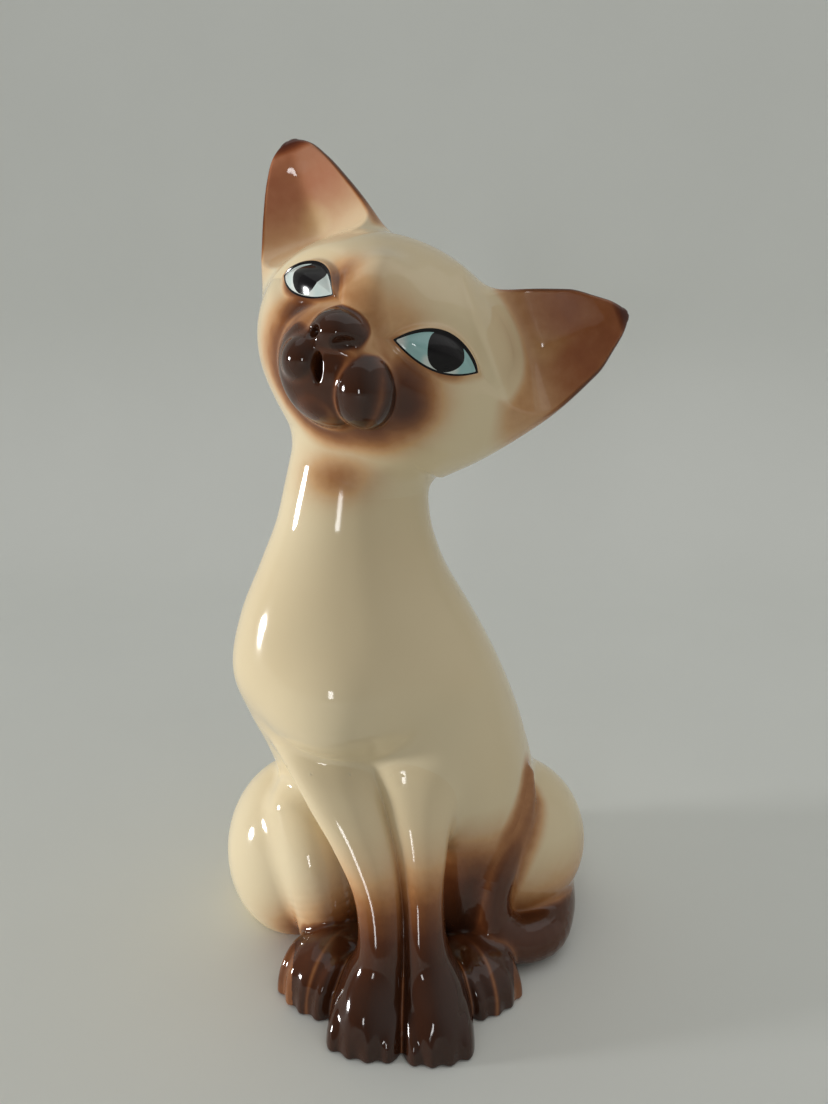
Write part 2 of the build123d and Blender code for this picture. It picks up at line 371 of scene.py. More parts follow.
def eye_relief(q, side):
    """Height of the eyeball and its lids over the cranium."""
    shape = eye_outline(q, side)
    along, up, _ = eye_place(q, side)
    middle = (LID_RISE[0] - LID_RISE[1]) / 2
    dome = 1 - (along / EYE_HALF) ** 2 - ((up - middle) / 3.9) ** 2
    ball = 0.8 * soft_max(dome, 0.0, 0.4)
    upper = ramp(-1.5, 1.5, up)
    lid = (0.35 + 0.45 * upper) * np.exp(-(((shape - 0.9) / 0.75) ** 2))
    socket = -1.1 * np.exp(-(((shape - 1.2) / 3.0) ** 2))
    return ball + lid + socket


def ear_seam(q):
    """A low soft ridge down the cheek, where the left ear was luted on."""
    root = np.array((EAR_ROOT[0], *EAR_ROOT[1:]))
    along = np.array(EAR_TIP["left"]) - root
    line = (q - root) @ along / np.linalg.norm(along) - 2.6
    front = ramp(-2, -8, q[:, 1]) * ramp(-12, -4, q[:, 2])
    return 0.5 * front * np.exp(-((line / 1.2) ** 2))


def head(p):
    q = to_head(p)
    shape = ellipsoid(q, CRANIUM_CENTRE, CRANIUM)
    shape = soft_min(shape, ellipsoid(q, *BRIDGE), 6.0)
    for side in EYES:
        shape = shape - eye_relief(q, side)
    shape = shape - ear_seam(q)
    shape = soft_min(shape, ellipsoid(q, *MOUND), 1.3)
    shape = soft_min(shape, snout(q), 0.8)
    for hollow in (*NOSTRILS, LIP_SLOT):
        shape = soft_max(shape, -ellipsoid(q, *hollow), 0.9)
    return shape


def snout(q):
    """The nose, the whisker pads and the chin."""
    shape = soft_min(ellipsoid(q, *PADS[0]), ellipsoid(q, *PADS[1]), 0.8)
    shape = soft_min(shape, ellipsoid(q, *CHIN), 0.7)
    return soft_min(shape, ellipsoid(q, *NOSE), 3.0)


def ear_section(t, side):
    """Half width and half depth at each share of an ear's length. The left ear ends a little narrower."""
    width, depth = smooth_table(np.clip(t, -0.6, 1), EAR_PROFILE)
    if side == "left":
        width = width * (1 - 0.25 * ramp(0.7, 1.0, t))
    return width, depth


def ear(p, side):
    """A flattened cone, hollowed at the front with a fold down its middle."""
    q = to_head(p)
    sign = 1 if side == "left" else -1
    root = np.array((sign * EAR_ROOT[0], *EAR_ROOT[1:]))
    tip = np.array((sign * EAR_TIP[side][0], *EAR_TIP[side][1:]))
    length = np.linalg.norm(tip - root)
    axis = (tip - root) / length
    across = np.array((-sign * axis[2], 0, sign * axis[0]))
    t = (q - root) @ axis / length
    s = (q - root) @ across
    n = (q - root)[:, 1]
    width, depth = ear_section(t, side)
    width = np.maximum(width - EAR_RIM, 0.3)
    depth = np.maximum(depth - EAR_RIM, 0.3)
    u = np.abs(s) / width
    base = ramp(0.5, -0.1, t)
    reach = depth + np.where(n < 0, (5.5 if side == "left" else 2.5) * base, 0)
    near = np.maximum(np.hypot(u, n / reach), 0.05)
    slope = np.hypot(u / width, n / reach**2) / near
    cone = (near - 1) / np.maximum(slope, 1 / width)
    cone = soft_max(cone, (t - 1) * length, 3.0)
    cone = np.maximum(cone, (-0.55 - t) * length)
    fold = 1 - np.minimum(np.sqrt(u * u + 0.02), 1.2)
    hollow = (depth - 1.6) * fold * ramp(1.0, 0.75, t) - n - 16 * base**2
    return soft_max(cone, hollow - 0.2, 0.8) - EAR_RIM


def fields(p):
    """The distance to each casting and sprig on its own. The chest is a part of the body casting."""
    return {
        "body_casting": torso(p),
        "chest": chest(p),
        "head_casting": within(p, (-45, -60, 108), (40, 40, 200), head),
        "left_ear": within(p, (0, -30, 115), (70, 30, 180), lambda q: ear(q, "left")),
        "right_ear": within(p, (-60, -40, 140), (20, 30, 210), lambda q: ear(q, "right")),
        "left_foreleg": within(p, (-20, -60, -8), (24, 12, 74), lambda q: foreleg(q, "left")),
        "right_foreleg": within(p, (-40, -60, -8), (14, 12, 74), lambda q: foreleg(q, "right")),
        "left_hind_paw": hind_paw(p, "left"),
        "right_hind_paw": hind_paw(p, "right"),
        "tail": tail(p),
    }


def skin(p):
    """The whole glazed surface."""
    f = fields(p)
    legs = soft_min(f["left_foreleg"], f["right_foreleg"], 0.6)
    shape = soft_min(f["body_casting"], legs, 6.5)
    shape = soft_min(shape, f["chest"], 1.2)
    paws = np.minimum(f["left_hind_paw"], f["right_hind_paw"])
    shape = soft_min(shape, paws, 1.4)
    shape = soft_min(shape, f["tail"], 3.0)
    shape = soft_min(shape, f["head_casting"], 6.0)
    ears = np.minimum(f["left_ear"], f["right_ear"])
    shape = soft_min(shape, ears, 3.5)
    shape = soft_max(shape, -p[:, 2], 0.8)
    vent = np.maximum(np.hypot(p[:, 0] - VENT[0], p[:, 1] - VENT[1]) - VENT[2], p[:, 2] - VENT[3])
    return soft_max(shape, -vent, 0.5)


# ---------------------------------------------------------------- meshing


def blocks(low, high, step, field, reach):
    """Dense samples of field on a grid, worked out only near its surface."""
    count = np.ceil((high - low) / step).astype(int) + 1
    coarse = 4
    outer = np.ceil(count / coarse).astype(int) + 1
    axes = [low[i] + np.arange(outer[i]) * step * coarse for i in range(3)]
    centres = np.stack(np.meshgrid(*axes, indexing="ij"), -1).reshape(-1, 3) + step * (coarse - 1) / 2
    rough = field(centres)
    samples = np.repeat(np.where(rough > 0, reach, -reach).astype(np.float32), coarse**3)
    samples = samples.reshape(*outer, coarse, coarse, coarse)
    near = np.abs(rough) < reach + step * coarse
    inner = np.stack(np.meshgrid(*[np.arange(coarse)] * 3, indexing="ij"), -1).reshape(-1, 3) * step
    points = (centres[near] - step * (coarse - 1) / 2)[:, None] + inner[None]
    values = field(points.reshape(-1, 3)).astype(np.float32)
    flat = samples.reshape(-1, coarse**3)
    flat[near] = values.reshape(-1, coarse**3)
    dense = flat.reshape(*outer, coarse, coarse, coarse).transpose(0, 3, 1, 4, 2, 5)
    return dense.reshape(*(outer * coarse))


def mesh_skin():
    low = np.array(cad_low) / MM - 4
    high = np.array(cad_high) / MM + 4
    dense = blocks(low, high, VOXEL, skin, 3.0)
    grid = openvdb.FloatGrid(3.0)
    grid.copyFromArray(dense, tolerance=0.0)
    points, quads = grid.convertToQuads(isovalue=0.0)
    points = points.astype(float) * VOXEL + low
    triangles = np.concatenate((quads[:, (0, 1, 2)], quads[:, (0, 2, 3)])).astype(int)
    return points, triangles


def gradient(p, field, step=0.02):
    out = np.empty_like(p)
    for i in range(3):
        shift = np.zeros(3)
        shift[i] = step
        out[:, i] = (field(p + shift) - field(p - shift)) / (2 * step)
    return out


def settle(p, times=2):
    """Moves points onto the skin."""
    for _ in range(times):
        slope = gradient(p, skin)
        size = np.maximum((slope * slope).sum(1), 0.05)
        move = skin(p)[:, None] * slope / size[:, None]
        p = p - np.clip(move, -0.4, 0.4)
    return p


def edges_of(triangles):
    """Unique edges, and the edge opposite each corner of each triangle."""
    pairs = np.sort(np.stack((triangles[:, (1, 2)], triangles[:, (2, 0)], triangles[:, (0, 1)]), 1), axis=2)
    unique, back = np.unique(pairs.reshape(-1, 2), axis=0, return_inverse=True)
    return unique, back.reshape(-1, 3)


def rolled(triangles, other, first):
    """Turns each triangle, and a table of its opposite edges, so that corner first comes first."""
    order = (first[:, None] + np.arange(3)) % 3
    rows = np.arange(len(triangles))[:, None]
    return triangles[rows, order], other[rows, order]


def refine(points, triangles, where):
    """Halves the edges whose middle is inside where, and splits the triangles on them."""
    edges, back = edges_of(triangles)
    middle = points[edges].mean(1)
    marked = where(middle)
    new = np.full(len(edges), -1)
    new[marked] = len(points) + np.arange(marked.sum())
    points = np.concatenate((points, middle[marked]))
    hit = marked[back]
    count = hit.sum(1)
    out = [triangles[count == 0]]
    tri, opp = rolled(triangles[count == 1], back[count == 1], np.argmax(hit[count == 1], axis=1))
    m = new[opp[:, 0]]
    out += [np.column_stack((tri[:, 0], tri[:, 1], m)), np.column_stack((tri[:, 0], m, tri[:, 2]))]
    tri, opp = rolled(triangles[count == 2], back[count == 2], np.argmin(hit[count == 2], axis=1))
    m, n = new[opp[:, 1]], new[opp[:, 2]]
    out.append(np.column_stack((tri[:, 0], n, m)))
    out.append(np.column_stack((n, tri[:, 1], tri[:, 2])))
    out.append(np.column_stack((n, tri[:, 2], m)))
    tri, mid = triangles[count == 3], new[back[count == 3]]
    out.append(np.column_stack((tri[:, 0], mid[:, 2], mid[:, 1])))
    out.append(np.column_stack((mid[:, 2], tri[:, 1], mid[:, 0])))
    out.append(np.column_stack((mid[:, 1], mid[:, 0], tri[:, 2])))
    out.append(mid)
    return points, np.concatenate(out)


def fine_zone(p):
    """Where the skin needs small triangles: the face, the paws and the tips of the ears."""
    q = to_head(p)
    face = np.all(np.abs(q - np.array((0, -24, -2))) < np.array((27, 13, 17)), axis=1)
    paws = (p[:, 1] < -14) & (p[:, 2] < 16)
    f = fields(p)
    ears = (np.minimum(f["left_ear"], f["right_ear"]) < 0.6) & (p[:, 2] > 120)
    return face | paws | ears


def cut(points, triangles, labels, value, chosen, name):
    """Splits the chosen triangles along value = 0, and gives those below it a new label.

    value is one number per point. Points close to the line move onto it, so that no slivers are left.
    """
    picked = triangles[chosen]
    edges, _ = edges_of(picked)
    a, b = value[edges[:, 0]], value[edges[:, 1]]
    crossing = a * b < 0
    edges, a, b = edges[crossing], a[crossing], b[crossing]
    t = a / (a - b)
    place = points[edges[:, 0]] + t[:, None] * (points[edges[:, 1]] - points[edges[:, 0]])
    points, value = points.copy(), value.copy()
    for corner, close in ((0, t < 0.2), (1, t > 0.8)):
        points[edges[close, corner]] = place[close]
        value[edges[close, corner]] = 0
    edges, back = edges_of(picked)
    a, b = value[edges[:, 0]], value[edges[:, 1]]
    crossing = a * b < 0
    t = a[crossing] / (a[crossing] - b[crossing])
    start, end = points[edges[crossing, 0]], points[edges[crossing, 1]]
    new = np.full(len(edges), -1)
    new[crossing] = len(points) + np.arange(crossing.sum())
    points = np.concatenate((points, start + t[:, None] * (end - start)))
    value = np.concatenate((value, np.zeros(crossing.sum())))
    kept, kept_labels = [triangles[~chosen]], [labels[~chosen]]
    sign = np.sign(value[picked])
    count = (new[back] >= 0).sum(1)
    whole = count == 0
    low = sign.sum(1) < 0
    kept.append(picked[whole])
    kept_labels.append(np.where(low[whole], name, labels[chosen][whole]))

    def add(tri, below, old):
        kept.append(tri)
        kept_labels.append(np.where(below, name, old))

    one = count == 1
    tri, opp = rolled(picked[one], back[one], np.argmax(new[back[one]] >= 0, axis=1))
    m, old = new[opp[:, 0]], labels[chosen][one]
    add(np.column_stack((tri[:, 0], tri[:, 1], m)), value[tri[:, 1]] < 0, old)
    add(np.column_stack((tri[:, 0], m, tri[:, 2])), value[tri[:, 2]] < 0, old)
    two = count == 2
    tri, opp = rolled(picked[two], back[two], np.argmin(new[back[two]] >= 0, axis=1))
    m, n, old = new[opp[:, 1]], new[opp[:, 2]], labels[chosen][two]
    add(np.column_stack((tri[:, 0], n, m)), value[tri[:, 0]] < 0, old)
    add(np.column_stack((n, tri[:, 1], tri[:, 2])), value[tri[:, 1]] < 0, old)
    add(np.column_stack((n, tri[:, 2], m)), value[tri[:, 2]] < 0, old)
    return points, np.concatenate(kept), np.concatenate(kept_labels)


NAMES = (
    "body_casting", "head_casting", "left_ear", "right_ear", "left_foreleg", "right_foreleg",
    "left_hind_paw", "right_hind_paw", "tail", "left_eye_enamel", "right_eye_enamel",
    "left_pupil_enamel", "right_pupil_enamel", "left_lid_line", "right_lid_line",
)
NUMBER = {name: i for i, name in enumerate(NAMES)}


def split(points, triangles):
    """Cuts the skin into the pieces, one joint after another."""
    labels = np.zeros(len(triangles), int)

    def part(name, source, rule):
        nonlocal points, triangles, labels
        chosen = labels == NUMBER[source]
        value = rule(points)
        points, triangles, labels = cut(points, triangles, labels, value, chosen, NUMBER[name])

    def nearest(name):
        """Negative where this piece is the nearest of them all."""
        def rule(p):
            f = fields(p)
            return f.pop(name) - np.min(list(f.values()), axis=0)
        return rule

    part("head_casting", "body_casting", lambda p: NECK_Z - p[:, 2])
    for name in ("tail", "left_hind_paw", "right_hind_paw", "left_foreleg", "right_foreleg"):
        part(name, "body_casting", nearest(name))
    for side in ("left", "right"):
        part(side + "_ear", "head_casting", nearest(side + "_ear"))
        part(side + "_lid_line", "head_casting", lambda p: lid_outline(to_head(p), side))
        part(side + "_eye_enamel", side + "_lid_line", lambda p: eye_outline(to_head(p), side))
        part(side + "_pupil_enamel", side + "_eye_enamel", lambda p: pupil_outline(to_head(p), side))
    return points, triangles, labels


def shell(outer, normals, triangles):
    """Closes an open sheet of triangles into a thin solid: the sheet, its inner side and a rim."""
    count = len(outer)
    inner = outer - normals * SHELL
    directed = np.concatenate((triangles[:, (0, 1)], triangles[:, (1, 2)], triangles[:, (2, 0)]))
    key = directed[:, 0] * count + directed[:, 1]
    back = directed[:, 1] * count + directed[:, 0]
    rim = directed[~np.isin(key, back)]
    sides = np.concatenate((
        np.column_stack((rim[:, 1], rim[:, 0], rim[:, 0] + count)),
        np.column_stack((rim[:, 1], rim[:, 0] + count, rim[:, 1] + count)),
    ))
    under = triangles[:, ::-1] + count
    return np.concatenate((outer, inner)), np.concatenate((triangles, under, sides)), len(sides)


# ---------------------------------------------------------------- paint


def fade(z, steps):
    """The stain at height z on a limb, from rows of height and stain."""
    return smooth_table(z, steps)[0]


def spray(p, centre, radii, strength):
    """One soft puff of the airbrush."""
    far = np.sqrt((((p - np.asarray(centre)) / np.asarray(radii)) ** 2).sum(1))
    return strength * np.exp(-2.2 * far**2)


# Rows of height and stain on each limb
LEG_FADE = (
    (0.0, 0.98), (10.0, 0.97), (16.0, 0.92), (21.0, 0.82), (26.0, 0.64), (30.0, 0.43), (35.0, 0.18),
    (41.0, 0.04), (48.0, 0.0),
)
FLANK_FADE = (
    (0.0, 1.0), (16.0, 0.97), (20.0, 0.9), (26.0, 0.7), (31.0, 0.44), (36.0, 0.18), (42.0, 0.02),
    (60.0, 0.0),
)
HAUNCH_FADE = ((0.0, 0.85), (8.0, 0.66), (14.0, 0.42), (19.0, 0.22), (24.0, 0.08), (29.0, 0.0), (60.0, 0.0))
TAIL_FADE = (
    (0.0, 0.9), (8.0, 0.88), (14.0, 0.88), (24.0, 0.86), (32.0, 0.76), (40.0, 0.6), (46.0, 0.45),
    (60.0, 0.3),
)
# Puffs of stain on the shin, the haunches and the floor edge: centre, radii and strength
HALOS = (
    ((-17.0, -18.0, 8.0), (14.0, 15.0, 16.0), 0.95),
    ((-26.0, -14.0, 3.0), (14.0, 14.0, 14.0), 0.8),
    ((14.0, -18.0, 8.0), (17.0, 16.0, 20.0), 1.0),
    ((27.0, -12.0, 4.0), (17.0, 14.0, 13.0), 0.8),
)
NECK_BLUSH = ((-16.5, -15.0, 122.0), (12.0, 12.0, 7.5), 0.46)
# Puffs of stain on the face, in the head frame
PUFFS = (
    ((15.0, -21.5, -6.5), (9.0, 10.0, 10.0), 0.88),
    ((12.0, -22.5, -1.5), (7.0, 8.0, 7.5), 0.60),
    ((10.0, -22.0, -14.5), (10.5, 10.0, 8.0), 0.75),
    ((1.0, -20.0, -17.0), (14.0, 10.0, 7.5), 0.66),
    ((-13.0, -22.0, -1.0), (8.0, 8.0, 8.5), 0.82),
    ((-8.0, -22.5, 8.0), (8.0, 8.0, 7.5), 0.60),
    ((4.0, -23.0, 6.5), (12.0, 9.0, 8.0), 0.30),
    ((-14.5, -18.0, -9.0), (8.5, 11.0, 11.0), 0.58),
)


def paint_face(q):
    """Stain on the head from the nose outward, and the glaze worn thin on the rims of the muzzle."""
    mound = ellipsoid(q, *MOUND)
    skull = ellipsoid(q, CRANIUM_CENTRE, CRANIUM)
    nearest = snout(q)
    proud = nearest - np.minimum(mound, skull)
    raised = mound - skull
    front = ramp(-12, -18, q[:, 1])
    low = ramp(3, -8, q[:, 2])
    stain = front * (0.42 + 0.26 * low) * ramp(6.0 + 3.0 * low, 0.0, raised)
    stain = np.maximum(stain, front * 0.97 * ramp(0.4, -0.9, proud) * ramp(1.3, 0.4, nearest))
    under = ramp(0.0, -4.0, q[:, 2])
    stain = np.maximum(stain, front * 0.93 * under * ramp(-0.3, -1.5, raised))
    blend = np.zeros(len(q))
    for centre, radii, strength in PUFFS:
        blend = 1 - (1 - blend) * (1 - spray(q, centre, radii, strength))
    stain = np.maximum(stain, blend)
    for side, depth in (("left", 0.5), ("right", 0.72)):
        along, up, _ = eye_place(q, side)
        below = (1 - 0.7 * ramp(0, 3, up)) * (1 - 0.6 * ramp(3, 9, along))
        stain = np.maximum(stain, depth * below * ramp(3.2, 0.2, eye_outline(q, side)))
    rim = np.exp(-(((proud + 0.1) / 0.45) ** 2)) * ramp(2.0, 0.5, mound)
    rim = rim * (0.3 + 0.7 * ramp(0, 5, q[:, 0]))
    rim = np.maximum(rim, 0.6 * np.exp(-((raised / 0.5) ** 2)))
    return stain, rim * front


def paint_ears(q, f):
    """Stain, painted shade and rose inside the ears, with dark tips and rims."""
    stain, rose = np.zeros(len(q)), np.zeros(len(q))
    # Base stain of each ear. The left ear is on the side away from the light, and its deeper base is partly
    # its tan and partly painted shade.
    for side, base in (("left", 0.3), ("right", 0.03)):
        t, u, n, across = ear_place(q, side)
        here = ramp(1.2, 0.2, f[side + "_ear"]) * ramp(-0.25, 0.1, t)
        inside = here * ramp(0.6, -0.6, n - 1.5)
        edge = ramp(0.86, 0.98, u)
        outer_half = ramp(0.25, -0.25, across)
        blush = 0.6 if side == "left" else 0.75
        rose = np.maximum(rose, blush * inside * ramp(0.15, 0.7, t) * (1 - 0.5 * edge))
        tint_and_shade = base + 0.16 * ramp(0.1, 0.7, t)
        # Painted shade: the outer half of the right ear's hollow, which turns away from the light, gets
        # extra stain.
        if side == "right":
            tint_and_shade = tint_and_shade + 0.14 * outer_half * ramp(0.0, 0.25, t)
        rim = edge * (0.35 + 0.42 * ramp(0.1, 0.6, t))
        tip = 0.8 * ramp(0.86, 1.0, t)
        stain = np.maximum(stain, here * np.maximum(np.maximum(tint_and_shade, rim), tip))
    return stain, rose


def paint(p):
    """Airbrushed colour at each point, 0 to 1: brown stain (with painted shade mixed in on the ears), rose,
    and glaze worn thin on edges.
    """
    q = to_head(p)
    f = fields(p)
    z = p[:, 2]
    on_head = ramp(NECK_Z - 1, NECK_Z + 6, z + 0.3 * (p[:, 1] + 10))
    stain, rim = paint_face(q)
    stain = stain * on_head
    stain = np.maximum(stain, spray(p, *NECK_BLUSH))

    paws = {"left": f["left_hind_paw"], "right": f["right_hind_paw"]}
    for side, paw_field in paws.items():
        leg = f[side + "_foreleg"]
        near = ramp(4.0, 0.0, leg) * ramp(-8, -16, p[:, 1])
        stain = np.maximum(stain, near * fade(z - (0 if side == "right" else 2), LEG_FADE))
        stain = np.maximum(stain, ramp(3.0, 0.0, paw_field) * (0.96 - 0.12 * ramp(6, 13, z)))
    for centre, radii, strength in HALOS:
        stain = np.maximum(stain, spray(p, centre, radii, strength))
    body = ramp(3.5, 0.5, f["body_casting"])
    flank = body * ramp(3, 8, p[:, 0]) * ramp(26, 20, p[:, 0]) * ramp(2, -6, p[:, 1])
    stain = np.maximum(stain, flank * fade(z, FLANK_FADE))
    haunch = body * ramp(14, 22, p[:, 0]) * ramp(14, 4, p[:, 1])
    stain = np.maximum(stain, haunch * fade(z, HAUNCH_FADE))
    stain = np.maximum(stain, ramp(1.8, -0.2, f["tail"]) * fade(z, TAIL_FADE))
    stain = np.maximum(stain, 0.5 * ramp(5.5, 0.5, f["tail"]))
    # The ears' stain includes painted shade on the left ear and on the outer half of the right ear.
    ear_stain_and_shade, rose = paint_ears(q, f)
    stain = np.maximum(stain, ear_stain_and_shade)

    legs = np.abs(f["left_foreleg"] - f["right_foreleg"])
    crease = np.exp(-((legs / 0.45) ** 2)) * ramp(22, 12, z) * ramp(-20, -30, p[:, 1])
    legs = np.minimum(f["left_foreleg"], f["right_foreleg"])
    for paw_field in paws.values():
        meeting = np.exp(-(((legs - paw_field) / 0.45) ** 2)) * ramp(3, 1, legs)
        crease = np.maximum(crease, meeting * ramp(15, 9, z))
    return {"stain": stain, "rose": rose, "thin": np.maximum(0.8 * crease, 0.8 * rim * on_head)}


def ear_place(q, side):
    """Share of the ear's length, share of its half width, depth behind its middle, and which half."""
    sign = 1 if side == "left" else -1
    root = np.array((sign * EAR_ROOT[0], *EAR_ROOT[1:]))
    tip = np.array((sign * EAR_TIP[side][0], *EAR_TIP[side][1:]))
    axis = (tip - root) / np.linalg.norm(tip - root)
    across = np.array((-sign * axis[2], 0, sign * axis[0]))
    t = (q - root) @ axis / np.linalg.norm(tip - root)
    side_way = (q - root) @ across / ear_section(t, side)[0]
    return t, np.abs(side_way), (q - root)[:, 1], side_way


# ---------------------------------------------------------------- materials

CREAM = (0.81, 0.685, 0.455, 1)
CREAM_DEEP = (0.79, 0.65, 0.415, 1)
ROSE = (0.52, 0.22, 0.16, 1)
# What is left of the cream's light under a deeper and deeper brown stain, and under the painted shade on
# the ears: depth, red, green, blue
STAIN = (
    (0.0, 1.0, 1.0, 1.0), (0.25, 0.81, 0.58, 0.44), (0.45, 0.51, 0.27, 0.15), (0.62, 0.28, 0.12, 0.06),
    (0.8, 0.125, 0.045, 0.024), (1.0, 0.042, 0.017, 0.012),
)


def new_material(name):
    material = bpy.data.materials.new(name)
    material.use_nodes = True
    tree = material.node_tree
    tree.nodes.clear()
    out = tree.nodes.new("ShaderNodeOutputMaterial")
    surface = tree.nodes.new("ShaderNodeBsdfPrincipled")
    tree.links.new(surface.outputs[0], out.inputs[0])
    return material, tree, surface


def noise(tree, scale, detail=3.0, offset=0.0):
    place = tree.nodes.new("ShaderNodeTexCoord")
    shift = tree.nodes.new("ShaderNodeMapping")
    shift.inputs["Location"].default_value = (offset, offset * 0.7, offset * 1.3)
    tree.links.new(place.outputs["Object"], shift.inputs["Vector"])
    node = tree.nodes.new("ShaderNodeTexNoise")
    node.inputs["Scale"].default_value = scale
    node.inputs["Detail"].default_value = detail
    tree.links.new(shift.outputs[0], node.inputs["Vector"])
    return node.outputs["Fac"]


def remap(tree, value, low, high, to_low, to_high):
    node = tree.nodes.new("ShaderNodeMapRange")
    tree.links.new(value, node.inputs["Value"])
    for name, number in (("From Min", low), ("From Max", high), ("To Min", to_low), ("To Max", to_high)):
        node.inputs[name].default_value = number
    return node.outputs["Result"]


def mix(tree, factor, a, b):
    node = tree.nodes.new("ShaderNodeMix")
    node.data_type = "RGBA"
    for socket, value in ((node.inputs[0], factor), (node.inputs[6], a), (node.inputs[7], b)):
        if isinstance(value, bpy.types.NodeSocket):
            tree.links.new(value, socket)
        else:
            socket.default_value = value
    return node.outputs[2]


def arithmetic(tree, operation, a, b):
    node = tree.nodes.new("ShaderNodeMath")
    node.operation = operation
    for socket, value in zip(node.inputs, (a, b)):
        if isinstance(value, bpy.types.NodeSocket):
            tree.links.new(value, socket)
        else:
            socket.default_value = value
    return node.outputs[0]


def ramp_node(tree, value, rows):
    """A colour for each value, from rows of position, red, green and blue."""
    node = tree.nodes.new("ShaderNodeValToRGB")
    tree.links.new(value, node.inputs[0])
    points = node.color_ramp.elements
    while len(points) < len(rows):
        points.new(0.5)
    for point, row in zip(points, rows):
        point.position = row[0]
        point.color = (*row[1:], 1)
    return node.outputs[0]


def multiply(tree, a, b):
    node = tree.nodes.new("ShaderNodeMix")
    node.data_type = "RGBA"
    node.blend_type = "MULTIPLY"
    node.inputs[0].default_value = 1.0
    tree.links.new(a, node.inputs[6])
    tree.links.new(b, node.inputs[7])
    return node.outputs[2]


def mask(tree, name, grain, strength):
    """A painted mask with a little airbrush grain, strongest where the paint is half there."""
    node = tree.nodes.new("ShaderNodeAttribute")
    node.attribute_name = name
    away = arithmetic(tree, "SUBTRACT", 1.0, node.outputs["Fac"])
    half_there = arithmetic(tree, "MULTIPLY", node.outputs["Fac"], away)
    weight = arithmetic(tree, "MULTIPLY", half_there, 4 * strength)
    grain = arithmetic(tree, "MULTIPLY", remap(tree, grain, 0.3, 0.7, -1, 1), weight)
    total = arithmetic(tree, "ADD", node.outputs["Fac"], grain)
    return remap(tree, total, 0, 1, 0, 1)


def glaze_finish(tree, surface, offset, roughness=0.05, ior=1.5):
    """Gloss and the faint waviness of a fired glaze."""
    slow = noise(tree, 45, 2, offset)
    fine = noise(tree, 900, 2, offset)
    tree.links.new(remap(tree, slow, 0.3, 0.7, roughness, roughness + 0.05), surface.inputs["Roughness"])
    surface.inputs["IOR"].default_value = ior
    wave = arithmetic(tree, "ADD", slow, arithmetic(tree, "MULTIPLY", fine, 0.02))
    bump = tree.nodes.new("ShaderNodeBump")
    bump.inputs["Strength"].default_value = 0.2
    bump.inputs["Distance"].default_value = 0.0005
    tree.links.new(wave, bump.inputs["Height"])
    tree.links.new(bump.outputs[0], surface.inputs["Normal"])


def glaze(name, offset):
    """The figure's own glaze: cream, with a rose blush and brown stain sprayed over it, and the painted
    shade on the ears that the stain mask carries.
    """
    material, tree, surface = new_material(name)
    colour = mix(tree, remap(tree, noise(tree, 22, 2, offset), 0.35, 0.65, 0, 1), CREAM, CREAM_DEEP)
    grain = noise(tree, 420, 5, offset)
    blotch = noise(tree, 150, 3, offset)
    colour = mix(tree, mask(tree, "rose", blotch, 0.05), colour, ROSE)
    # The stain mask also holds the painted shade on the ears.
    stain = mask(tree, "stain", mix_value(tree, grain, blotch), 0.045)
    worn = arithmetic(tree, "MULTIPLY", mask(tree, "thin", blotch, 0.2), 0.45)
    stain = arithmetic(tree, "MULTIPLY", stain, arithmetic(tree, "SUBTRACT", 1.0, worn))
    colour = multiply(tree, colour, ramp_node(tree, stain, STAIN))
    tree.links.new(colour, surface.inputs["Base Color"])
    glaze_finish(tree, surface, offset)
    return material


def mix_value(tree, a, b):
    return arithmetic(tree, "MULTIPLY", arithmetic(tree, "ADD", a, b), 0.5)


def enamel(name, offset):
    """White of the eye with a pale turquoise iris."""
    material, tree, surface = new_material(name)
    iris = mask(tree, "iris", noise(tree, 300, 3, offset), 0.2)
    colour = mix(tree, iris, (0.74, 0.78, 0.74, 1), (0.33, 0.56, 0.55, 1))
    tree.links.new(colour, surface.inputs["Base Color"])
    glaze_finish(tree, surface, offset, 0.03)
    return material


def black(name, offset):
    material, tree, surface = new_material(name)
    colour = mix(tree, noise(tree, 300, 3, offset), (0.004, 0.004, 0.005, 1), (0.012, 0.010, 0.011, 1))
    tree.links.new(colour, surface.inputs["Base Color"])
    glaze_finish(tree, surface, offset, 0.13, 1.32)
    return material


def iris_mask(p, side):
    """The iris is round the pupil, and the white shows below it. On the right eye the iris is painted
    faint, as painted light.
    """
    along, up, _ = eye_place(to_head(p), side)
    at_along, at_up, radius = PUPILS[side]
    ring = ramp(radius + 5.0, radius + 3.0, np.hypot(along - at_along, up - at_up))
    below = ramp(-0.4, -1.6, up) * ramp(4.5, 3.0, np.abs(along - at_along))
    # Painted light: the right eye's iris is kept at a quarter strength, a painted wash of the light that
    # falls on that eye.
    strength = 1.0 if side == "left" else 0.25
    return strength * ring * (1 - 0.85 * below)


# ---------------------------------------------------------------- build


def slots():
    """The record's material slot of each node."""
    return {part["node"]: part["material_slot"] for part in frame["record"]["subparts"]}


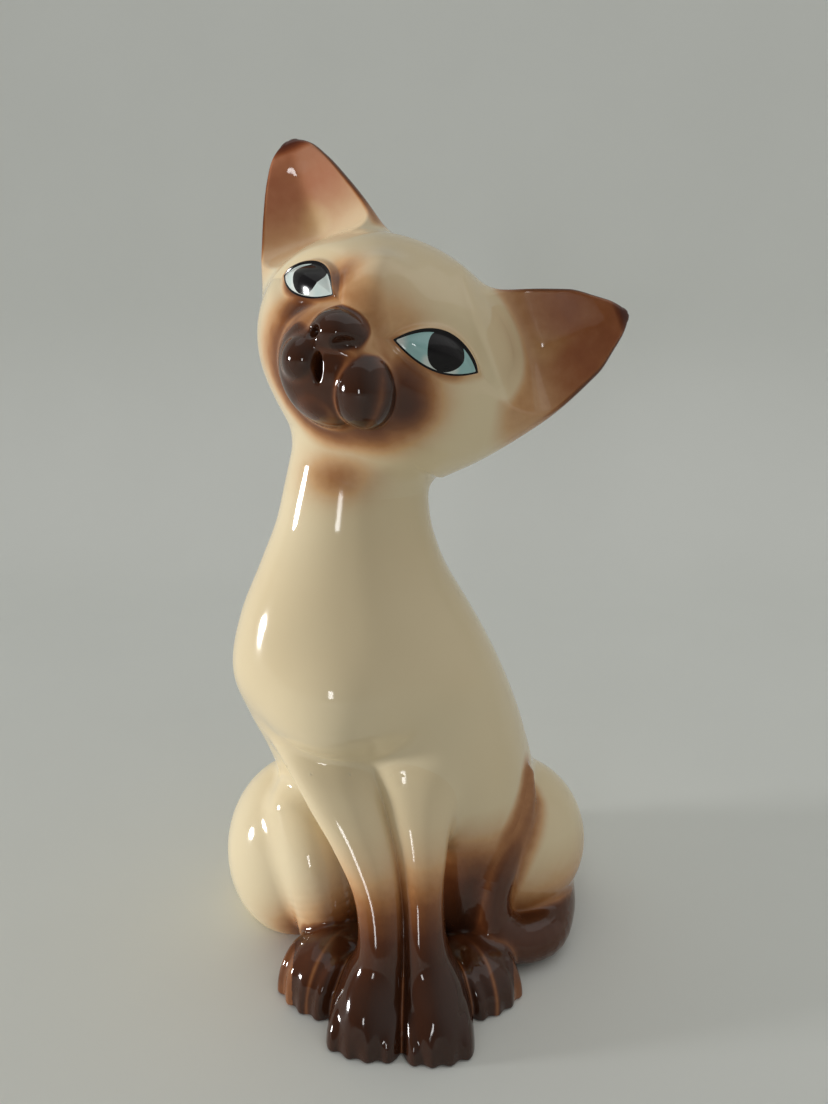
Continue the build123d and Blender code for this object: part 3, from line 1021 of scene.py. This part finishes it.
def build():
    points, triangles = mesh_skin()
    points = settle(points)
    for _ in range(FINE_PASSES):
        points, triangles = refine(points, triangles, fine_zone)
        points = settle(points, 1)
    points, triangles, labels = split(points, triangles)
    points = settle(points, 1)
    normals = gradient(points, skin)
    normals /= np.maximum(np.linalg.norm(normals, axis=1), 1e-6)[:, None]
    masks = paint(points)
    slot_of = slots()
    makers = {"eye_enamel": enamel, "pupil_enamel": black}
    materials = {s: makers.get(s, glaze)(s, 0.37 * i) for i, s in enumerate(sorted(set(slot_of.values())))}
    for number, name in enumerate(NAMES):
        tri = triangles[labels == number]
        used, tri = np.unique(tri, return_inverse=True)
        tri = tri.reshape(-1, 3)
        outer, normal = points[used], normals[used]
        verts, faces, rim = shell(outer, normal, tri)
        mesh = bpy.data.meshes.new(name)
        mesh.from_pydata(verts * MM, [], faces)
        mesh.shade_smooth()
        first, second, third = (verts[faces[:, i]] for i in range(3))
        face_way = np.cross(second - first, third - first)
        face_way /= np.maximum(np.linalg.norm(face_way, axis=1), 1e-9)[:, None]
        corner = np.concatenate((normal, -normal))[faces]
        corner[len(faces) - rim:] = face_way[len(faces) - rim:, None]
        mesh.normals_split_custom_set(corner.reshape(-1, 3))
        values = {key: column_of[used] for key, column_of in masks.items()}
        if name.endswith("eye_enamel"):
            values["iris"] = iris_mask(outer, name.split("_")[0])
        for key, value in values.items():
            layer = mesh.attributes.new(key, "FLOAT", "POINT")
            both_sides = np.clip(np.concatenate((value, value)), 0, 1)
            layer.data.foreach_set("value", both_sides.astype(np.float32))
        slot = slot_of.get(name, "pupil_enamel")
        mesh.materials.append(materials[slot])
        piece = bpy.data.objects.new(name + "_look" if name in slot_of else name, mesh)
        bpy.context.scene.collection.objects.link(piece)
        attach(piece, "root")
        if name in slot_of:
            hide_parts(name)


build()


# ---------------------------------------------------------------- stage


def soft_box(name, place, aim, width, height, power):
    light = bpy.data.lights.new(name, "AREA")
    light.shape = "RECTANGLE"
    light.size, light.size_y = width, height
    light.energy = power
    lamp = bpy.data.objects.new(name, light)
    lamp.location = place
    way = Vector(aim) - Vector(place)
    lamp.rotation_euler = way.to_track_quat("-Z", "Y").to_euler()
    bpy.context.scene.collection.objects.link(lamp)


def far_light(name, place, strength, spread):
    """Even light from far away in the direction of place, as wide as spread degrees."""
    light = bpy.data.lights.new(name, "SUN")
    light.energy = strength
    light.angle = math.radians(spread)
    lamp = bpy.data.objects.new(name, light)
    lamp.location = place
    lamp.rotation_euler = (-Vector(place)).to_track_quat("-Z", "Y").to_euler()
    bpy.context.scene.collection.objects.link(lamp)


def backdrop():
    """A pale floor that curves up into a wall behind the figure."""
    near, far, bend, high, half = -1.6, 0.42, 0.16, 1.4, 1.8
    line = [(near, 0), (far - bend, 0)]
    for i in range(1, 13):
        turn = math.radians(90 * i / 12)
        line.append((far - bend + bend * math.sin(turn), bend - bend * math.cos(turn)))
    line.append((far, high))
    points = [(x, y, z) for y, z in line for x in (-half, half)]
    faces = [(2 * i, 2 * i + 1, 2 * i + 3, 2 * i + 2) for i in range(len(line) - 1)]
    mesh = bpy.data.meshes.new("floor")
    mesh.from_pydata(points, [], faces)
    mesh.shade_smooth()
    ground = bpy.data.objects.new("floor", mesh)
    bpy.context.scene.collection.objects.link(ground)
    material, tree, surface = new_material("floor")
    colour = mix(tree, noise(tree, 12, 3), (0.78, 0.80, 0.765, 1), (0.82, 0.84, 0.805, 1))
    tree.links.new(colour, surface.inputs["Base Color"])
    surface.inputs["Roughness"].default_value = 0.8
    mesh.materials.append(material)


def room_light():
    """Even light from the room, dimmer near the horizon and in front of the figure."""
    world = bpy.data.worlds.new("studio")
    world.use_nodes = True
    tree = world.node_tree
    place = tree.nodes.new("ShaderNodeTexCoord")
    split_way = tree.nodes.new("ShaderNodeSeparateXYZ")
    tree.links.new(place.outputs["Generated"], split_way.inputs[0])
    sky = remap(tree, split_way.outputs["Z"], -0.1, 0.9, 0.06, 0.25)
    side = remap(tree, split_way.outputs["X"], -0.2, 1.0, 0.0, 0.36)
    level = arithmetic(tree, "ADD", sky, side)
    colour = mix(tree, level, (0, 0, 0, 1), (1.0, 0.99, 0.95, 1))
    tree.links.new(colour, tree.nodes["Background"].inputs["Color"])
    bpy.context.scene.world = world


def stage():
    backdrop()
    room_light()
    middle = (0, 0, 0.09)
    far_light("window", (-1.0, -0.1, 0.07), 2.6, 9)
    soft_box("far_window", (-0.20, -0.70, 0.14), middle, 0.06, 0.12, 0.3)
    soft_box("overhead", (0.1, 0.2, 1.0), middle, 1.5, 1.5, 3.0)
    bpy.context.scene.view_settings.view_transform = "Standard"


def camera():
    data = bpy.data.cameras.new("camera")
    data.sensor_width = 36
    data.lens = 27.07
    data.clip_start = 0.01
    view = bpy.data.objects.new("camera", data)
    view.location = (0, -0.188, 0.1553)
    view.rotation_euler = (math.radians(90 - 16), 0, 0)
    bpy.context.scene.collection.objects.link(view)
    bpy.context.scene.camera = view


stage()
camera()
